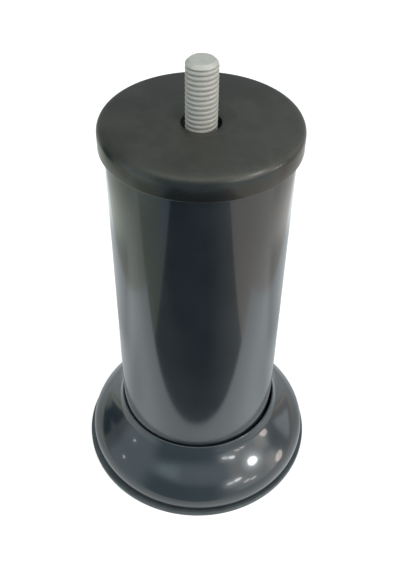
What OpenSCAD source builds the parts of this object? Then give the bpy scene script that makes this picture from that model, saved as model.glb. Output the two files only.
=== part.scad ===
// Round sofa leg: lacquered tube with a bell-shaped foot, a moulded cap and an M8 stud.
// Millimetres. The leg stands on z = 0 with its axis on z.

/* [Leg] */
// Height from the floor to the top of the cap
leg_h = 120; // [90:1:220]
// Outer diameter of the tube
tube_d = 48; // [42:0.5:56]
// Wall of the tube
tube_wall = 1.2; // [0.8:0.1:2]

/* [Bell cover] */
// Diameter of the upright rim
bell_d = 70.6; // [68:0.2:76]
// Height of the lip above the floor
bell_h = 19.9; // [19:0.2:26]
// Height of the rounded lip above the fold
lip_h = 0.6; // [0.6:0.1:3]
// Wall of the cover
bell_wall = 0.9; // [0.7:0.1:1.2]
// Gap between the lip and the tube
bell_gap = 0.3; // [0.3:0.1:1]
// How far the loose cover has slid to one side
bell_slip = 0.2; // [0:0.1:0.3]
// Height of the top of the upright rim
rim_top = 4; // [3.5:0.1:5.5]
// Radius of the fold between the sloping side and the lip
fold_r = 4; // [2:0.5:6]
// Radius of the shoulder between the sloping side and the rim
shoulder_r = 7.4; // [5:0.1:9]
// Turn of the hollow and of the swell that make up the sloping side, in degrees
side_bow = 11; // [4:1:20]

/* [Base plug] */
// Diameter of the flange that stands on the floor
base_d = 72.8; // [72:0.2:84]
// Thickness of the flange at its edge
flange_t = 1.6; // [1.2:0.1:2.4]
// Height of the plug above its floor
base_plug_h = 22; // [12:1:40]

/* [Cap] */
// How far the cap stands out past the tube
cap_overhang = 1.5; // [1.2:0.1:3]
// Height of the skirt outside the tube
skirt_h = 6.8; // [6:0.1:12]
// Radius of the top edge
cap_edge_r = 2.7; // [1:0.1:2.8]
// Thickness of the top plate
top_t = 3; // [2.9:0.1:5]
// Length of the plug inside the tube
cap_plug_h = 14; // [8:1:30]

/* [Stud] */
// Thread diameter
stud_d = 8; // [6:1:10]
// Length of the stud above the cap
stud_out = 15; // [8:1:30]
// Length of the bolt under its head
bolt_l = 25; // [25:1:40]
// Diameter of the shallow dish round the stud hole
dish_d = 17; // [15:0.5:20]
// Depth of the dish
dish_depth = 0.8; // [0.4:0.1:1]
// Diameter of the stud hole
stud_hole_d = 10.2; // [10.2:0.1:11]
// Diameter of the bevelled mouth of the stud hole
sink_d = 11.5; // [11.4:0.1:13]

/* [Hidden] */
$fn = 96;
tube_r = tube_d / 2;
bore_r = tube_r - tube_wall;
plug_fit = 0.1;       // gap between a plug and the bore of the tube
skirt_fit = 0.05;     // gap between the skirt and the outside of the tube
plug_wall = 2;
plug_r = bore_r - plug_fit;
rib_t = 1.8;
rib_count = 6;

cap_r = tube_r + cap_overhang;
seat_z = leg_h - top_t;               // the tube stops here under the top plate
skirt_r = tube_r + skirt_fit;
sink_depth = 0.4;
guide_depth = 4;                      // the wide hole ends here and the close one starts
guide_gap = 0.2;                      // gap round the thread in the close hole
shank_d = 0.9 * stud_d;               // plain shank below the rolled thread
head_flats = 1.625 * stud_d;          // across the flats of the hex head
head_h = 0.6625 * stud_d;
pocket_gap = 0.1;
head_top_z = leg_h + stud_out - bolt_l;
boss_wall = 2.4;
boss_r = head_flats / sqrt(3) + boss_wall;
boss_low_z = head_top_z - head_h - 1;
rib_h = 9;                            // ribs round the boss, under the top plate
rib_low_z = seat_z - rib_h;
stud_chamfer = 0.9;

base_r = base_d / 2;
flange_edge_r = 0.4;
floor_z = rim_top - 0.3;              // the tube stands here, on the step that centres the cover
recess_r = base_r - 5;                // hollow underside, inside the standing ring
recess_h = flange_t;
bell_r = bell_d / 2;
lip_in_r = tube_r + bell_gap;
lip_r = lip_in_r + bell_wall;
step_gap = 0.5;                       // room for the cover to slip
step_r = bell_r - bell_wall - step_gap;

// The sloping side is a hollow above a swell of the same radius. Its chord runs between
// the fold under the lip and the shoulder above the rim. Leans are from upright.
fold_z = bell_h - lip_h;
arc_sum = fold_r + shoulder_r;
centre_dx = lip_r + fold_r - bell_r + shoulder_r;
centre_dz = fold_z - rim_top;
chord_lean = atan2(centre_dz, centre_dx)
    - acos(arc_sum * cos(side_bow / 2) / norm([centre_dx, centre_dz]));
end_lean = chord_lean - side_bow / 2;
mid_lean = chord_lean + side_bow / 2;
sweep_r = (centre_dz - arc_sum * sin(end_lean)) / cos(chord_lean) / (4 * sin(side_bow / 2));

// A ring on the plate stands clear inside the sloping side, where the shoulder starts.
shoulder_in_r = shoulder_r - bell_wall;
stiffener_gap = 1.6;
stiffener_r = bell_r - shoulder_r + shoulder_in_r * cos(end_lean) - stiffener_gap;
stiffener_wall = 1.8;
stiffener_h = rim_top + shoulder_in_r * sin(end_lean) - floor_z;
spoke_count = 8;
spoke_h = stiffener_h - 1;
spoke_gap = 2;                        // the outer spokes stop this far from the tube
foot_rib_gap = 0.4;                   // the ribs underneath stop this far above the floor
foot_rib_h = recess_h - foot_rib_gap + 0.5;

// Points of an arc round [x, y] from angle a to angle b.
function arc(x, y, r, a, b, n = 10) =
    [for (i = [0:n]) let (t = a + (b - a) * i / n) [x + r * cos(t), y + r * sin(t)]];

// The side of the bell from the rim up to the lip, moved inwards by inset.
function bell_side(inset) = let (
    swell_r = sweep_r - shoulder_r,
    hollow_r = sweep_r - fold_r
) concat(
    arc(bell_r - shoulder_r, rim_top, shoulder_r - inset, 0, end_lean),
    arc(bell_r - shoulder_r - swell_r * cos(end_lean), rim_top - swell_r * sin(end_lean),
        sweep_r - inset, end_lean, mid_lean, 5),
    arc(lip_r + fold_r + hollow_r * cos(end_lean), fold_z + hollow_r * sin(end_lean),
        sweep_r + inset, 180 + mid_lean, 180 + end_lean, 5),
    arc(lip_r + fold_r, fold_z, fold_r + inset, 180 + end_lean, 180, 8)
);

function reversed(list) = [for (i = [len(list) - 1:-1:0]) list[i]];

module ring(r_out, r_in, h) {
    difference() {
        cylinder(r = r_out, h = h);
        translate([0, 0, -1]) cylinder(r = r_in, h = h + 2);
    }
}

// Radial walls from r_in to r_out, set evenly round the axis.
module spokes(count, r_in, r_out, thickness, h) {
    for (i = [0:count - 1])
        rotate([0, 0, (i + 0.5) * 360 / count])
            translate([r_in, -thickness / 2, 0]) cube([r_out - r_in, thickness, h]);
}

// Steel tube, cut square at both ends.
module leg_tube() {
    color([0.16, 0.18, 0.2])
        translate([0, 0, floor_z]) ring(tube_r, bore_r, seat_z - floor_z);
}

// Bell-shaped cover of even wall with a rounded lip, open at both ends.
module bell_cover() {
    edge_r = bell_wall / 2;
    color([0.16, 0.18, 0.2])
        translate([bell_slip, 0, 0]) rotate_extrude()
            polygon(concat(
                arc(bell_r - edge_r, flange_t + edge_r, edge_r, -90, 0, 4),
                bell_side(0),
                arc(lip_r - edge_r, bell_h - edge_r, edge_r, 0, 180, 12),
                reversed(bell_side(bell_wall)),
                [[bell_r - bell_wall, flange_t]]
            ));
}

// Flange on the floor, step that centres the cover, ribbed plate and plug for the tube.
module base_plug() {
    color([0.1, 0.1, 0.1]) {
        difference() {
            rotate_extrude()
                polygon(concat(
                    [[0, 0]],
                    arc(base_r - flange_edge_r, flange_edge_r, flange_edge_r, -90, 0, 4),
                    arc(base_r - flange_edge_r, flange_t - flange_edge_r, flange_edge_r, 0, 90, 4),
                    [[step_r, flange_t], [step_r, floor_z], [0, floor_z]]
                ));
            translate([0, 0, -1]) cylinder(r = recess_r, h = recess_h + 1);
        }
        translate([0, 0, floor_z]) {
            ring(plug_r, plug_r - plug_wall, base_plug_h);
            ring(stiffener_r, stiffener_r - stiffener_wall, stiffener_h);
            spokes(spoke_count, tube_r + spoke_gap, stiffener_r - stiffener_wall / 2, rib_t, spoke_h);
            spokes(spoke_count, 0, plug_r - plug_wall / 2, rib_t, spoke_h);
        }
        translate([0, 0, foot_rib_gap])
            spokes(spoke_count, 0, recess_r + 1, rib_t, foot_rib_h);
    }
}

// Cap with a rounded top edge, a skirt outside the tube and a plug inside it.
module top_cap() {
    color([0.07, 0.07, 0.07])
        difference() {
            union() {
                rotate_extrude()
                    polygon(concat(
                        [[0, seat_z], [skirt_r, seat_z], [skirt_r, leg_h - skirt_h]],
                        arc(cap_r - 0.4, leg_h - skirt_h + 0.4, 0.4, -90, 0, 4),
                        arc(cap_r - cap_edge_r, leg_h - cap_edge_r, cap_edge_r, 0, 90, 12),
                        [[0, leg_h]]
                    ));
                translate([0, 0, seat_z - cap_plug_h]) ring(plug_r, plug_r - plug_wall, cap_plug_h + 1);
                translate([0, 0, boss_low_z]) cylinder(r = boss_r, h = seat_z - boss_low_z + 1);
                translate([0, 0, rib_low_z])
                    spokes(rib_count, boss_r - 1, plug_r - plug_wall / 2, rib_t, seat_z - rib_low_z + 1);
            }
            stud_hole();
        }
}

// Dish, bevelled mouth, wide hole, close hole for the shank and hex pocket for the head.
module stud_hole() {
    translate([0, 0, leg_h]) cylinder(r = dish_d / 2, h = 1);
    translate([0, 0, leg_h - dish_depth])
        cylinder(r1 = sink_d / 2, r2 = dish_d / 2, h = dish_depth);
    translate([0, 0, leg_h - dish_depth - sink_depth])
        cylinder(r1 = stud_hole_d / 2, r2 = sink_d / 2, h = sink_depth);
    translate([0, 0, leg_h - guide_depth]) cylinder(r = stud_hole_d / 2, h = guide_depth);
    translate([0, 0, head_top_z - 1])
        cylinder(r = stud_d / 2 + guide_gap, h = leg_h - head_top_z);
    translate([0, 0, boss_low_z - 1])
        cylinder(r = head_flats / sqrt(3) + pocket_gap, h = head_top_z - boss_low_z + 1, $fn = 6);
}

// Hex bolt, head down in the cap. The thread is a plain cylinder with a chamfered end.
module stud_bolt() {
    color([0.66, 0.67, 0.67]) {
        translate([0, 0, head_top_z - head_h])
            cylinder(r = head_flats / sqrt(3), h = head_h, $fn = 6);
        translate([0, 0, head_top_z - 0.1])
            cylinder(r = shank_d / 2, h = leg_h - head_top_z + 0.2);
        translate([0, 0, leg_h])
            cylinder(r = stud_d / 2, h = stud_out - stud_chamfer);
        translate([0, 0, leg_h + stud_out - stud_chamfer])
            cylinder(r1 = stud_d / 2, r2 = stud_d / 2 - stud_chamfer, h = stud_chamfer);
    }
}

top_cap();
stud_bolt();
leg_tube();
bell_cover();
base_plug();
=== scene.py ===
from math import acos, atan2, cos, hypot, pi, radians, sin, tan

import bpy
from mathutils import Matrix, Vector


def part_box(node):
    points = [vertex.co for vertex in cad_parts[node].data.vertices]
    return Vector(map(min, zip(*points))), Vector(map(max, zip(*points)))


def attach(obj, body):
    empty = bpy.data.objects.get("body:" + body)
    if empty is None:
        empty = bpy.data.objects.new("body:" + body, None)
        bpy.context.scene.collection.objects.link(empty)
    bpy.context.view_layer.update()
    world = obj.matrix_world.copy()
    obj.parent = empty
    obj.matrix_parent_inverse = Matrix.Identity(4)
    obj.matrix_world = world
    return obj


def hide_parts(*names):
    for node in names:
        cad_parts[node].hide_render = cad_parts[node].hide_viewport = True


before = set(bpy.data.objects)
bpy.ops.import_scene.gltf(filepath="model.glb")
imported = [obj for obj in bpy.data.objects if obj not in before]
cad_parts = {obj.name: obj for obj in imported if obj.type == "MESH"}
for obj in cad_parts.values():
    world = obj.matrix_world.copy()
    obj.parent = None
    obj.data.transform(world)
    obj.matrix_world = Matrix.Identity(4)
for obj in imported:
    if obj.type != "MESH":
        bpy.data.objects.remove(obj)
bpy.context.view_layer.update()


# ---- Leg tube ---------------------------------------------------------------------------
# Thin-walled steel tube, cut square at both ends. It stands on the base plug, runs up
# inside the foot cover and the cap's skirt, and is sprayed in gloss anthracite lacquer.

MM = 0.001
WELD = 0.001 * MM
ROUND_SIDES = 256
CREASE_ANGLE = radians(32)


def turn_profile(name, profile, centre_x=0.0):
    """Turn a closed profile of (radius, height) points about an upright axis."""
    radius, height = profile[0]
    bpy.ops.object.select_all(action="DESELECT")
    bpy.ops.mesh.primitive_circle_add(vertices=ROUND_SIDES, radius=radius, location=(centre_x, 0, height))
    piece = bpy.context.object
    piece.name = name
    bpy.ops.object.mode_set(mode="EDIT")
    bpy.ops.mesh.select_all(action="SELECT")
    for next_radius, next_height in profile[1:] + profile[:1]:
        rise = next_height - height
        growth = next_radius / radius
        bpy.ops.mesh.extrude_region_move(TRANSFORM_OT_translate={"value": (0, 0, rise)})
        bpy.ops.transform.resize(value=(growth, growth, 1), center_override=(centre_x, 0, next_height))
        radius = next_radius
        height = next_height
    bpy.ops.mesh.select_all(action="SELECT")
    bpy.ops.mesh.remove_doubles(threshold=WELD)
    bpy.ops.mesh.normals_make_consistent(inside=False)
    bpy.ops.object.mode_set(mode="OBJECT")
    bpy.ops.object.transform_apply(location=True, rotation=True, scale=True)
    bpy.ops.object.shade_smooth_by_angle(angle=CREASE_ANGLE)
    return piece


def add_node(tree, kind, settings=None, **inputs):
    """Add a shader node with its settings, and its inputs set or linked by name or as i0, i1."""
    node = tree.nodes.new(kind)
    for key, value in (settings or {}).items():
        setattr(node, key, value)
    for key, value in inputs.items():
        socket = node.inputs[int(key[1:])] if key[1:].isdigit() else node.inputs[key.replace("_", " ")]
        if isinstance(value, bpy.types.NodeSocket):
            tree.links.new(value, socket)
        else:
            socket.default_value = value
    return node


def fade(tree, mask, bare, covered):
    """A value that goes straight from bare to covered as the mask goes from 0 to 1."""
    return add_node(tree, "ShaderNodeMapRange", Value=mask, To_Min=bare, To_Max=covered).outputs[0]


def soft_step(tree, value, start, end, floor=0.0):
    """A mask that eases from the floor at start up to 1 at end."""
    step = add_node(tree, "ShaderNodeMapRange", {"interpolation_type": "SMOOTHSTEP"},
                    Value=value, From_Min=start, From_Max=end, To_Min=floor)
    return step.outputs[0]


def blend_colour(tree, mask, below, above):
    """The colour below, covered by the colour above where the mask is 1."""
    mix = add_node(tree, "ShaderNodeMix", {"data_type": "RGBA"}, Factor=mask, i6=below, i7=above)
    return mix.outputs[2]


def start_material(name):
    """Make a node material and return it with its tree, its shader and Object coordinates."""
    material = bpy.data.materials.new(name)
    material.use_nodes = True
    tree = material.node_tree
    place = add_node(tree, "ShaderNodeTexCoord").outputs["Object"]
    return material, tree, tree.nodes["Principled BSDF"], place


def wear_finish(piece, material, slot, *nodes):
    """Give a piece its one material and its place in the model."""
    piece.data.materials.clear()
    piece.data.materials.append(material)
    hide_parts(*nodes)
    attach(piece, "root")


def start_group(name, *inputs):
    """Make a shader group that puts out a mask, with float inputs beside a vector."""
    group = bpy.data.node_groups.new(name, "ShaderNodeTree")
    group.interface.new_socket("Vector", in_out="INPUT", socket_type="NodeSocketVector")
    for label in inputs:
        group.interface.new_socket(label, in_out="INPUT", socket_type="NodeSocketFloat")
    group.interface.new_socket("Mask", in_out="OUTPUT", socket_type="NodeSocketFloat")
    return group, group.nodes.new("NodeGroupInput").outputs, group.nodes.new("NodeGroupOutput").inputs


def add_group(tree, group, **inputs):
    """Use a shader group in a material and return its mask."""
    return add_node(tree, "ShaderNodeGroup", {"node_tree": group}, **inputs).outputs["Mask"]


# Handling haze: broad soft patches with finer ones in them, as a mask.
haze_group, given, result = start_group("handling_haze", "Scale")
broad = add_node(haze_group, "ShaderNodeTexNoise", Vector=given["Vector"], Scale=given["Scale"],
                 Detail=4.0, Roughness=0.6)
patches = soft_step(haze_group, broad.outputs["Fac"], 0.35, 0.68)
haze_group.links.new(patches, result["Mask"])

# Gloss lacquer: near-black blue-grey under a clear skin, with a faint orange peel.
lacquer, tree, shader, place = start_material("anthracite_lacquer")
haze = add_group(tree, haze_group, Vector=place, Scale=45.0)
tint = blend_colour(tree, haze, (0.0095, 0.012, 0.0145, 1), (0.014, 0.017, 0.0195, 1))
tree.links.new(tint, shader.inputs["Base Color"])
tree.links.new(fade(tree, haze, 0.13, 0.19), shader.inputs["Roughness"])
peel = add_node(tree, "ShaderNodeTexNoise", Vector=place, Scale=420.0, Detail=1.0)
peel_bump = add_node(tree, "ShaderNodeBump", Strength=0.02, Distance=0.4 * MM, Height=peel.outputs["Fac"])
tree.links.new(peel_bump.outputs["Normal"], shader.inputs["Normal"])
shader.inputs["Coat Weight"].default_value = 1.0
shader.inputs["Coat Roughness"].default_value = 0.04

tube_low, tube_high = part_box("leg_tube")
tube_r = tube_high.x
tube_wall = 1.2 * MM
tube_edge = 0.15 * MM
tube_in_r = tube_r - tube_wall
tube = turn_profile("tube", [
    (tube_r - tube_edge, tube_low.z),
    (tube_r, tube_low.z + tube_edge),
    (tube_r, tube_high.z - tube_edge),
    (tube_r - tube_edge, tube_high.z),
    (tube_in_r, tube_high.z),
    (tube_in_r, tube_low.z),
])
wear_finish(tube, lacquer, "lacquer", "leg_tube")


# ---- Foot cover -------------------------------------------------------------------------
# Bell-shaped cover spun from thin steel and lacquered like the tube. Its lip slips over the
# tube with a small gap, and its rim stands loose on the flange of the base plug.

bell_low, bell_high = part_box("bell_cover")
bell_x = (bell_low.x + bell_high.x) / 2
bell_r = (bell_high.x - bell_low.x) / 2
bell_wall = 0.9 * MM
bell_gap = 0.3 * MM
lip_h = 0.6 * MM
lip_lean = radians(20)
lip_edge = 0.38 * MM
lip_in_edge = 0.15 * MM
fold_r = 4.0 * MM
shoulder_r = 7.4 * MM
rim_top = 4.0 * MM
rim_edge = 0.15 * MM
bow = radians(11)
tight_steps = 14
sweep_steps = 10
rim_edge_steps = 6
lip_edge_steps = 8
lip_in_edge_steps = 4
lip_top = bell_high.z
lip_in_r = tube_r + bell_gap
lip_r = lip_in_r + bell_wall
fold_z = lip_top - lip_h


def arc_points(centre_r, centre_z, radius, start, end, steps):
    """Points of an arc from one angle to another, in radians from the outward level."""
    turns = [start + (end - start) * i / steps for i in range(steps + 1)]
    return [(centre_r + radius * cos(turn), centre_z + radius * sin(turn)) for turn in turns]


def bell_side(inset, last_lean):
    """The side from the rim up to the lip, moved inwards by inset, ending at the last lean.

    Four arcs that meet without a kink: shoulder, swell, hollow and fold.
    """
    arc_sum = fold_r + shoulder_r
    centre_dr = lip_r + fold_r - bell_r + shoulder_r
    centre_dz = fold_z - rim_top
    span = hypot(centre_dr, centre_dz)
    chord_lean = atan2(centre_dz, centre_dr) - acos(arc_sum * cos(bow / 2) / span)
    end_lean = chord_lean - bow / 2
    top_lean = chord_lean + bow / 2
    chord = (centre_dz - arc_sum * sin(end_lean)) / cos(chord_lean)
    sweep_r = chord / (4 * sin(bow / 2))
    shoulder = arc_points(bell_r - shoulder_r, rim_top, shoulder_r - inset, 0, end_lean, tight_steps)
    low_r = bell_r - shoulder_r - (sweep_r - shoulder_r) * cos(end_lean)
    low_z = rim_top - (sweep_r - shoulder_r) * sin(end_lean)
    swell = arc_points(low_r, low_z, sweep_r - inset, end_lean, top_lean, sweep_steps)
    high_r = lip_r + fold_r + (sweep_r - fold_r) * cos(end_lean)
    high_z = fold_z + (sweep_r - fold_r) * sin(end_lean)
    hollow = arc_points(high_r, high_z, sweep_r + inset, pi + top_lean, pi + end_lean, sweep_steps)
    fold = arc_points(lip_r + fold_r, fold_z, fold_r + inset, pi + end_lean, pi + last_lean, tight_steps)
    return shoulder + swell[1:] + hollow[1:] + fold[1:]


outside = bell_side(0, lip_lean)
inside = bell_side(bell_wall, 0)
fold_top_r, fold_top_z = outside[-1]
lip_edge_z = lip_top - lip_edge
lip_out_r = fold_top_r - (lip_edge_z - fold_top_z) * tan(lip_lean)
# A point just below the lip's round edge, which keeps the long face under it evenly shaded.
hold_drop = 0.06 * MM
hold_out = 0.18 * MM * tan(lip_lean)
bell = turn_profile("foot_cover", (
    arc_points(bell_r - rim_edge, bell_low.z + rim_edge, rim_edge, -pi / 2, 0, rim_edge_steps)
    + outside
    + [(lip_out_r + hold_out, lip_edge_z - hold_drop)]
    + arc_points(lip_out_r - lip_edge, lip_edge_z, lip_edge, lip_lean, pi / 2, lip_edge_steps)
    + arc_points(lip_in_r + lip_in_edge, lip_top - lip_in_edge, lip_in_edge, pi / 2, pi, lip_in_edge_steps)
    + inside[::-1]
    + [(bell_r - bell_wall, bell_low.z)]
), centre_x=bell_x)
wear_finish(bell, lacquer, "lacquer", "bell_cover")


# ---- Base plug --------------------------------------------------------------------------
# One moulding in dark grey plastic: a flange that stands on the floor, a step that centres
# the cover, and a ribbed plug pressed into the tube. Only the flange's edge shows.


def multiply(tree, first, second):
    """The product of two values."""
    return add_node(tree, "ShaderNodeMath", {"operation": "MULTIPLY"}, i0=first, i1=second).outputs[0]


# Dust: sparse light specks of uneven size, as a mask. Most cells stay bare.
bare_share = 0.8
dust_group, given, result = start_group("dust_specks", "Scale", "Amount")
cells = add_node(dust_group, "ShaderNodeTexVoronoi", Vector=given["Vector"], Scale=given["Scale"])
spread = add_node(dust_group, "ShaderNodeTexWhiteNoise", Vector=cells.outputs["Position"])
speck_r = multiply(dust_group, spread.outputs["Value"], given["Amount"])
in_speck = add_node(dust_group, "ShaderNodeMath", {"operation": "LESS_THAN"},
                    i0=cells.outputs["Distance"], i1=speck_r)
in_dusty_cell = add_node(dust_group, "ShaderNodeMath", {"operation": "GREATER_THAN"},
                         i0=spread.outputs["Value"], i1=bare_share)
specks = multiply(dust_group, in_speck.outputs[0], in_dusty_cell.outputs[0])
dust_group.links.new(specks, result["Mask"])

# Grey moulding, slightly hazed and dusty.
base_plastic, tree, shader, place = start_material("base_plastic")
haze = add_group(tree, haze_group, Vector=place, Scale=180.0)
tint = blend_colour(tree, haze, (0.048, 0.053, 0.055, 1), (0.074, 0.080, 0.083, 1))
dust = add_group(tree, dust_group, Vector=place, Scale=2000.0, Amount=0.3)
dusty = blend_colour(tree, dust, tint, (0.10, 0.106, 0.106, 1))
tree.links.new(dusty, shader.inputs["Base Color"])
shader.inputs["Roughness"].default_value = 0.3
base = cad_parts["base_plug"]
base.data.materials.clear()
base.data.materials.append(base_plastic)


# ---- Cap --------------------------------------------------------------------------------
# Moulded black plastic cap, pushed down on the tube: a skirt outside, a plug inside and a
# boss that holds the bolt. The top is satin, with a rounded edge and a dish round the bolt.

cap_low, cap_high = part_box("top_cap")
cap_r = cap_high.x
cap_top = cap_high.z
cap_edge_r = 2.7 * MM
skirt_h = 6.8 * MM
cap_edge_steps = 14
skirt_edge_r = 0.4 * MM
skirt_edge_steps = 5
skirt_gap = 0.05 * MM
skirt_in_r = tube_r + skirt_gap
skirt_z = cap_top - skirt_h
seat_z = tube_high.z
plug_gap = 0.1 * MM
plug_wall = 2 * MM
plug_r = tube_in_r - plug_gap
plug_in_r = plug_r - plug_wall
boss_r = 9.9 * MM
hole_r = 4.2 * MM
guide_depth = 4 * MM
guide_z = cap_top - guide_depth
dish_r = 8.5 * MM
dish_round = 0.35 * MM
dish_depth = 0.8 * MM
dish_z = cap_top - dish_depth
sink_r = 5.75 * MM
sink_round = 0.2 * MM
mouth_r = 5.1 * MM
mouth_depth = 0.4 * MM
mouth_z = dish_z - mouth_depth
# How far the surface has dropped on and past the edge of the dish, and then of the hole's mouth.
dish_edge_drop = 0.03 * MM
dish_side_drop = 0.13 * MM
sink_edge_rise = 0.03 * MM
sink_side_drop = 0.06 * MM
cap = turn_profile("cap", (
    [(skirt_in_r, seat_z), (skirt_in_r, skirt_z)]
    + arc_points(cap_r - skirt_edge_r, skirt_z + skirt_edge_r, skirt_edge_r, -pi / 2, 0, skirt_edge_steps)
    + arc_points(cap_r - cap_edge_r, cap_top - cap_edge_r, cap_edge_r, 0, pi / 2, cap_edge_steps)
    + [(dish_r + dish_round, cap_top), (dish_r, cap_top - dish_edge_drop)]
    + [(dish_r - dish_round, cap_top - dish_side_drop)]
    + [(sink_r + sink_round, dish_z + sink_edge_rise), (sink_r, dish_z - sink_side_drop)]
    + [(mouth_r, mouth_z), (mouth_r, guide_z), (hole_r, guide_z), (hole_r, cap_low.z)]
    + [(boss_r, cap_low.z), (boss_r, seat_z), (plug_in_r, seat_z), (plug_in_r, cap_low.z)]
    + [(plug_r, cap_low.z), (plug_r, seat_z)]
))

# Black moulding: matt, finely grained and a little rubbed on top, smoother on the skirt; the rubs are partly
# real wear and partly a painted sheen towards the front right.
cap_plastic, tree, shader, place = start_material("cap_plastic")
spot = add_node(tree, "ShaderNodeSeparateXYZ", Vector=place)
on_top = soft_step(tree, spot.outputs["Z"], cap_top - 2.2 * MM, cap_top - 0.5 * MM)
haze = add_group(tree, haze_group, Vector=place, Scale=90.0)
top_tint = blend_colour(tree, haze, (0.0195, 0.0175, 0.0130, 1), (0.038, 0.0355, 0.0275, 1))
tint = blend_colour(tree, on_top, (0.008, 0.008, 0.007, 1), top_tint)
rub = add_node(tree, "ShaderNodeTexNoise", Vector=place, Scale=300.0, Detail=6.0, Roughness=0.7)
# Painted sheen: the rubbed colour grows from the back left to the front right, the side the main lamp
# lights.
slant = add_node(tree, "ShaderNodeVectorMath", {"operation": "DOT_PRODUCT"}, i0=place, i1=(0.8, -0.6, 0.0))
painted_sheen_side = soft_step(tree, slant.outputs["Value"], -4 * MM, 24 * MM, floor=0.12)
rubs_and_painted_sheen = multiply(tree, multiply(tree, rub.outputs["Fac"], painted_sheen_side), on_top)
worn_and_sheen_tint = blend_colour(tree, rubs_and_painted_sheen, tint, (0.062, 0.058, 0.048, 1))
dust = add_group(tree, dust_group, Vector=place, Scale=2000.0, Amount=0.22)
dusty = blend_colour(tree, dust, worn_and_sheen_tint, (0.045, 0.046, 0.041, 1))
tree.links.new(dusty, shader.inputs["Base Color"])
tree.links.new(fade(tree, on_top, 0.18, 0.42), shader.inputs["Roughness"])
tree.links.new(fade(tree, on_top, 0.6, 0.0), shader.inputs["Coat Weight"])
shader.inputs["Coat Roughness"].default_value = 0.2
shader.inputs["Specular Tint"].default_value = (1.0, 0.93, 0.84, 1)
grain = add_node(tree, "ShaderNodeTexNoise", Vector=place, Scale=2600.0, Detail=2.0)
grain_bump = add_node(tree, "ShaderNodeBump", Strength=0.12, Distance=0.06 * MM, Height=grain.outputs["Fac"])
tree.links.new(grain_bump.outputs["Normal"], shader.inputs["Normal"])
wear_finish(cap, cap_plastic, "cap_plastic", "top_cap")


# ---- Stud bolt --------------------------------------------------------------------------
# Zinc-plated M8 hex bolt, pressed head down into the cap. Its coarse rolled thread stands
# above the cap and runs down into the hole, and its end has a small chamfer.

zinc, tree, shader, place = start_material("zinc_plate")
bloom = add_node(tree, "ShaderNodeTexNoise", Vector=place, Scale=700.0, Detail=4.0)
tint = blend_colour(tree, bloom.outputs["Fac"], (0.47, 0.43, 0.38, 1), (0.63, 0.58, 0.52, 1))
tree.links.new(tint, shader.inputs["Base Color"])
shader.inputs["Metallic"].default_value = 0.3
shader.inputs["Roughness"].default_value = 0.6

thread_r = 4.0 * MM
thread_pitch = 1.25 * MM
thread_depth = 0.5 * thread_pitch
root_r = thread_r - thread_depth
crest_drop = 0.02 * MM
flank_drop = 0.10 * MM
hidden_thread = 6 * MM
thread_low = cap_top - hidden_thread
thread_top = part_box("stud_bolt")[1].z
end_chamfer = 0.9 * MM
thread_sides = 96
spare_turns = 3
turns = int((thread_top - thread_low) / thread_pitch) + spare_turns
# One pitch of the thread from root to root, as (radius, height) from its lower end.
pitch_profile = [
    (root_r, 0.0),
    (root_r, 0.06 * thread_pitch),
    (thread_r - flank_drop, 0.24 * thread_pitch),
    (thread_r - crest_drop, 0.38 * thread_pitch),
    (thread_r, 0.53 * thread_pitch),
    (thread_r - crest_drop, 0.68 * thread_pitch),
    (thread_r - flank_drop, 0.82 * thread_pitch),
    (root_r, thread_pitch),
]
bpy.ops.object.select_all(action="DESELECT")
bpy.ops.mesh.primitive_plane_add(size=MM, location=(root_r, 0, thread_low - thread_pitch))
stud = bpy.context.object
stud.name = "stud"
bpy.ops.object.transform_apply(location=True, rotation=True, scale=True)
bpy.ops.object.mode_set(mode="EDIT")
bpy.ops.mesh.select_all(action="SELECT")
bpy.ops.mesh.merge(type="CENTER")
for (from_r, from_z), (to_r, to_z) in zip(pitch_profile, pitch_profile[1:]):
    bpy.ops.mesh.extrude_region_move(TRANSFORM_OT_translate={"value": (to_r - from_r, 0, to_z - from_z)})
bpy.ops.object.mode_set(mode="OBJECT")
helix = stud.modifiers.new("helix", "SCREW")
helix.axis = "Z"
helix.angle = 2 * pi
helix.screw_offset = thread_pitch
helix.iterations = turns
helix.steps = thread_sides
helix.render_steps = thread_sides
helix.use_merge_vertices = True
helix.merge_threshold = WELD
bpy.ops.object.modifier_apply(modifier=helix.name)
bpy.ops.object.mode_set(mode="EDIT")
bpy.ops.mesh.select_all(action="SELECT")
bpy.ops.mesh.remove_doubles(threshold=WELD)
for cut_z, keep_below in ((thread_top, True), (thread_low, False)):
    bpy.ops.mesh.select_all(action="SELECT")
    bpy.ops.mesh.bisect(plane_co=(0, 0, cut_z), plane_no=(0, 0, 1), use_fill=True, threshold=WELD,
                        clear_outer=keep_below, clear_inner=not keep_below)
bpy.ops.mesh.select_all(action="SELECT")
bpy.ops.mesh.remove_doubles(threshold=WELD)
bpy.ops.mesh.normals_make_consistent(inside=False)
bpy.ops.object.mode_set(mode="OBJECT")
# The chamfer: no point stands further out than a 45 degree cone round the end.
for vertex in stud.data.vertices:
    out = hypot(vertex.co.x, vertex.co.y)
    limit = thread_r - end_chamfer + (thread_top - vertex.co.z)
    if out > limit:
        vertex.co.x *= limit / out
        vertex.co.y *= limit / out
bpy.ops.object.shade_smooth_by_angle(angle=CREASE_ANGLE)
wear_finish(stud, zinc, "zinc", "stud_bolt")


# ---- Floor, room and camera -------------------------------------------------------------
# A plain white floor for the camera. The gloss lacquer mirrors a white sheet on a pale table, a dark mat in
# front of and below it, soft zones of the room, and the lamps; the sheet and the mat are glowing surfaces
# that only the gloss sees, with painted light and shade in their colours.

FAR = 10.0


def band(tree, value, low, high, soft):
    """A mask that is 1 between low and high, with soft ends."""
    rise = soft_step(tree, value, low - soft / 2, low + soft / 2)
    fall = soft_step(tree, value, high + soft / 2, high - soft / 2)
    return multiply(tree, rise, fall)


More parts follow.
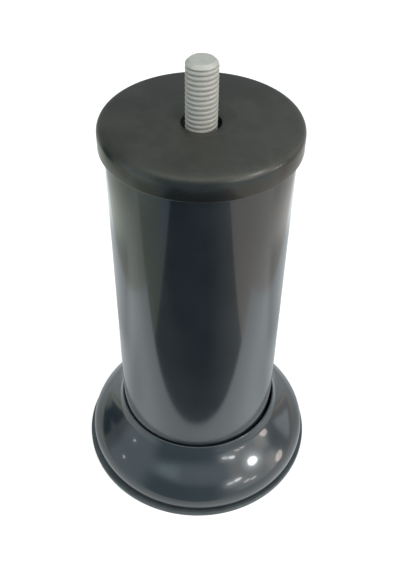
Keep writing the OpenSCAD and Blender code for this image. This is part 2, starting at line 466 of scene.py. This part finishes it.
stage, tree, shader, place = start_material("stage_floor")
spot = add_node(tree, "ShaderNodeSeparateXYZ", Vector=place)
floor_x = spot.outputs["X"]
floor_y = spot.outputs["Y"]
flat_spot = add_node(tree, "ShaderNodeCombineXYZ", X=floor_x, Y=floor_y)
from_axis = add_node(tree, "ShaderNodeVectorMath", {"operation": "LENGTH"}, i0=flat_spot.outputs[0])
out = from_axis.outputs["Value"]

# The table, greener on the left, with the sheet on it under the leg.
sheet_half = 100 * MM
left_side = band(tree, floor_x, -FAR, 0.0, 20 * MM)
table_tint = blend_colour(tree, left_side, (0.76, 0.74, 0.70, 1), (0.66, 0.71, 0.64, 1))
sheet = band(tree, floor_x, -sheet_half, sheet_half, 8 * MM)
mirrored_tint = blend_colour(tree, sheet, table_tint, (0.90, 0.97, 1.0, 1))

# Painted shade on the mirrored sheet: it is darker round the foot, behind it, far off, and in front on the
# left.
near_foot = band(tree, out, -FAR, 68 * MM, 56 * MM)
past_foot = band(tree, out, 60 * MM, 128 * MM, 22 * MM)
far_off = band(tree, out, 160 * MM, FAR, 30 * MM)
back_half = band(tree, floor_y, 10 * MM, FAR, 24 * MM)
front_edge = band(tree, floor_y, -FAR, -28 * MM, 20 * MM)
left_half = band(tree, floor_x, -FAR, 0.0, 30 * MM)
skewed = add_node(tree, "ShaderNodeMath", {"operation": "MULTIPLY_ADD"}, i0=floor_x, i1=-0.10, i2=floor_y)
beside = band(tree, skewed.outputs[0], -14 * MM, FAR, 34 * MM)
level = 1.0
for one_mask, other_mask, painted_shade_level in (
    (near_foot, beside, 0.48),
    (past_foot, back_half, 0.60),
    (far_off, beside, 0.70),
    (front_edge, left_half, 0.88),
):
    # Painted shade: each pair of masks darkens the sheet's glow down to its shaded level.
    painted_shade = multiply(tree, one_mask, other_mask)
    level = multiply(tree, level, fade(tree, painted_shade, 1.0, painted_shade_level))

# A dark thing that stands far off to the left and behind.
turn = add_node(tree, "ShaderNodeMath", {"operation": "ARCTAN2"},
                i0=floor_x, i1=multiply(tree, floor_y, -1.0))
dark_turn = band(tree, turn.outputs[0], radians(-120), radians(-99), radians(6))
past_skirt = band(tree, out, 200 * MM, FAR, 20 * MM)
dark_spot = multiply(tree, dark_turn, past_skirt)
mirrored_tint = blend_colour(tree, dark_spot, mirrored_tint, (0.14, 0.19, 0.21, 1))

# The table ends in front of the leg, and the gloss looks past its edge to the dark mat.
edge_y = -47 * MM
# The sheet's glow for glossy rays: its tint at the painted level of light and shade, emitted in place of a
# lit sheet.
painted_sheet_glow = add_node(tree, "ShaderNodeEmission", Color=mirrored_tint, Strength=level)
open_front = add_node(tree, "ShaderNodeBsdfTransparent")
on_table = band(tree, floor_y, edge_y, FAR, 4 * MM)
for_gloss = add_node(tree, "ShaderNodeMixShader", i0=on_table,
                     i1=open_front.outputs[0], i2=painted_sheet_glow.outputs[0])

# To the camera it is plain white that keeps the leg's shadow.
shade = add_node(tree, "ShaderNodeBsdfDiffuse", Color=(0.52, 0.44, 0.42, 1))
lift = add_node(tree, "ShaderNodeEmission", Color=(1, 1, 1, 1), Strength=0.74)
for_camera = add_node(tree, "ShaderNodeAddShader", i0=shade.outputs[0], i1=lift.outputs[0])
for_others = add_node(tree, "ShaderNodeBsdfDiffuse", Color=(0.8, 0.8, 0.8, 1))
ray = add_node(tree, "ShaderNodeLightPath")
plain = add_node(tree, "ShaderNodeMixShader", i0=ray.outputs["Is Camera Ray"],
                 i1=for_others.outputs[0], i2=for_camera.outputs[0])
whole = add_node(tree, "ShaderNodeMixShader", i0=ray.outputs["Is Glossy Ray"],
                 i1=plain.outputs[0], i2=for_gloss.outputs[0])
tree.links.new(whole.outputs[0], tree.nodes["Material Output"].inputs["Surface"])
tree.nodes.remove(shader)

bpy.ops.object.select_all(action="DESELECT")
floor_size = 8.0
bpy.ops.mesh.primitive_plane_add(size=floor_size, location=(0, 0, 0))
floor = bpy.context.object
floor.name = "stage_floor"
floor.data.materials.append(stage)

# The dark mat on the ground below: a glowing panel, its glow painted lighter towards the leg and on the
# right.
dark, tree, shader, place = start_material("stage_dark_mat")
spot = add_node(tree, "ShaderNodeSeparateXYZ", Vector=place)
near_part = band(tree, spot.outputs["Y"], 0.0, FAR, 0.16)
mat_tint = blend_colour(tree, near_part, (0.055, 0.070, 0.085, 1), (0.125, 0.145, 0.165, 1))
right_part = band(tree, spot.outputs["X"], 0.35, FAR, 0.5)
mat_tint = blend_colour(tree, right_part, mat_tint, (0.25, 0.265, 0.26, 1))
mat_glow = add_node(tree, "ShaderNodeEmission", Color=mat_tint, Strength=1.0)
tree.links.new(mat_glow.outputs[0], tree.nodes["Material Output"].inputs["Surface"])
tree.nodes.remove(shader)

bpy.ops.object.select_all(action="DESELECT")
mat_width = 1.14
mat_depth = 0.86
mat_y = -0.58
mat_z = -0.6
bpy.ops.mesh.primitive_plane_add(size=1.0, location=(0, mat_y, mat_z))
dark_mat = bpy.context.object
dark_mat.name = "stage_dark_mat"
dark_mat.scale = (mat_width, mat_depth, 1)
bpy.ops.object.transform_apply(location=False, rotation=False, scale=True)
dark_mat.data.materials.append(dark)

world = bpy.data.worlds.new("plain_room")
bpy.context.scene.world = world
world.use_nodes = True
tree = world.node_tree
place = add_node(tree, "ShaderNodeTexCoord").outputs["Generated"]
way = add_node(tree, "ShaderNodeSeparateXYZ", Vector=place)
turned = add_node(tree, "ShaderNodeMath", {"operation": "ARCTAN2"},
                  i0=way.outputs["X"], i1=multiply(tree, way.outputs["Y"], -1.0))
raised = add_node(tree, "ShaderNodeMath", {"operation": "ARCSINE"}, i0=way.outputs["Z"])

# Soft zones of the room, each over the ones before it. Each has its turn from the front and
# its rise, as low, high and softness in degrees, and then its colour.
room_zones = (
    ((-400, 400, 1), (-100, -8, 6), (0.75, 0.90, 0.92, 1)),
    ((-400, -90, 12), (-8, 48, 16), (0.38, 0.43, 0.46, 1)),
    ((112, 400, 12), (-8, 48, 16), (0.40, 0.45, 0.47, 1)),
    ((-400, -34, 12), (-100, -34, 6), (0.36, 0.41, 0.34, 1)),
    ((34, 400, 12), (-100, -34, 6), (0.78, 0.73, 0.67, 1)),
    ((-48, 22, 20), (-100, 27, 12), (0.30, 0.41, 0.47, 1)),
    ((-43, -20, 14), (31, 44, 9), (1.0, 1.3, 1.45, 1)),
    ((35, 80, 14), (-4, 42, 14), (1.35, 1.45, 1.45, 1)),
    ((-75, 70, 16), (42, 62, 7), (1.9, 2.0, 1.9, 1)),
    ((54, 70, 17), (22, 38, 17), (3.2, 3.45, 3.5, 1)),
    ((26, 46, 10), (17, 26, 8), (1.7, 1.8, 1.85, 1)),
    ((70, 83, 7), (3, 20, 8), (1.9, 1.85, 1.8, 1)),
    ((87, 101, 7), (-6, 28, 10), (0.46, 0.54, 0.58, 1)),
    ((101, 123, 7), (2, 17, 7), (1.10, 1.20, 1.26, 1)),
    ((-120, -101, 6), (-8, 10, 7), (0.08, 0.12, 0.15, 1)),
)
room = (0.70, 0.86, 0.95, 1)
for turn_range, rise_range, zone_tint in room_zones:
    across = band(tree, turned.outputs[0], *[radians(angle) for angle in turn_range])
    upright = band(tree, raised.outputs[0], *[radians(angle) for angle in rise_range])
    room = blend_colour(tree, multiply(tree, across, upright), room, zone_tint)
room_light = tree.nodes["Background"]
tree.links.new(room, room_light.inputs["Color"])
room_light.inputs["Strength"].default_value = 1.0
white_sky = add_node(tree, "ShaderNodeBackground", Color=(1, 1, 1, 1), Strength=1.0)
ray = add_node(tree, "ShaderNodeLightPath")
sky = add_node(tree, "ShaderNodeMixShader", i0=ray.outputs["Is Camera Ray"],
               i1=room_light.outputs[0], i2=white_sky.outputs[0])
tree.links.new(sky.outputs[0], tree.nodes["World Output"].inputs["Surface"])


def add_lamp(name, turn, rise, width, height, level, tint):
    """An oval lamp a metre and a half away, in a direction given in degrees."""
    reach = 1.5
    aim = Vector((0, 0, 12 * MM))
    level_reach = cos(radians(rise))
    way = Vector((sin(radians(turn)) * level_reach, -cos(radians(turn)) * level_reach, sin(radians(rise))))
    data = bpy.data.lights.new(name, "AREA")
    data.shape = "ELLIPSE"
    data.size = width
    data.size_y = height
    data.energy = level * pi * pi * width * height / 4
    data.color = tint
    lamp = bpy.data.objects.new(name, data)
    bpy.context.scene.collection.objects.link(lamp)
    lamp.location = way * reach + aim
    lamp.rotation_euler = way.to_track_quat("Z", "Y").to_euler()


# Each lamp's turn from the front and rise in degrees, its width and height, level and tint.
add_lamp("main_lamp", 61.8, 30.0, 0.28, 0.26, 14, (1.0, 1.0, 1.0))
add_lamp("right_lamp_a", 39.4, 21.8, 0.19, 0.08, 9, (1.0, 1.0, 1.0))
add_lamp("right_lamp_b", 31.7, 21.5, 0.19, 0.08, 5, (1.0, 1.0, 1.0))
add_lamp("side_lamp_a", 53.0, 13.0, 0.16, 0.07, 4.5, (1.0, 0.93, 0.9))
add_lamp("side_lamp_b", 46.8, 15.0, 0.17, 0.07, 4, (1.0, 0.93, 0.9))
add_lamp("warm_lamp", 83.0, 5.5, 0.26, 0.22, 4.5, (1.0, 0.86, 0.80))
add_lamp("left_lamp", -75.0, 14.0, 0.08, 0.07, 4, (1.0, 1.0, 1.0))

# The camera looks down on the leg from the front, from about 43 degrees above the level.
camera_data = bpy.data.cameras.new("camera")
camera_data.sensor_width = 36.0
camera_data.lens = 47.51413
camera = bpy.data.objects.new("camera", camera_data)
bpy.context.scene.collection.objects.link(camera)
camera.location = (0.0, -0.16014482, 0.21334595)
camera.rotation_euler = (radians(47.19564), radians(-0.66551), radians(0.51116))
bpy.context.scene.camera = camera
bpy.context.scene.view_settings.view_transform = "Standard"
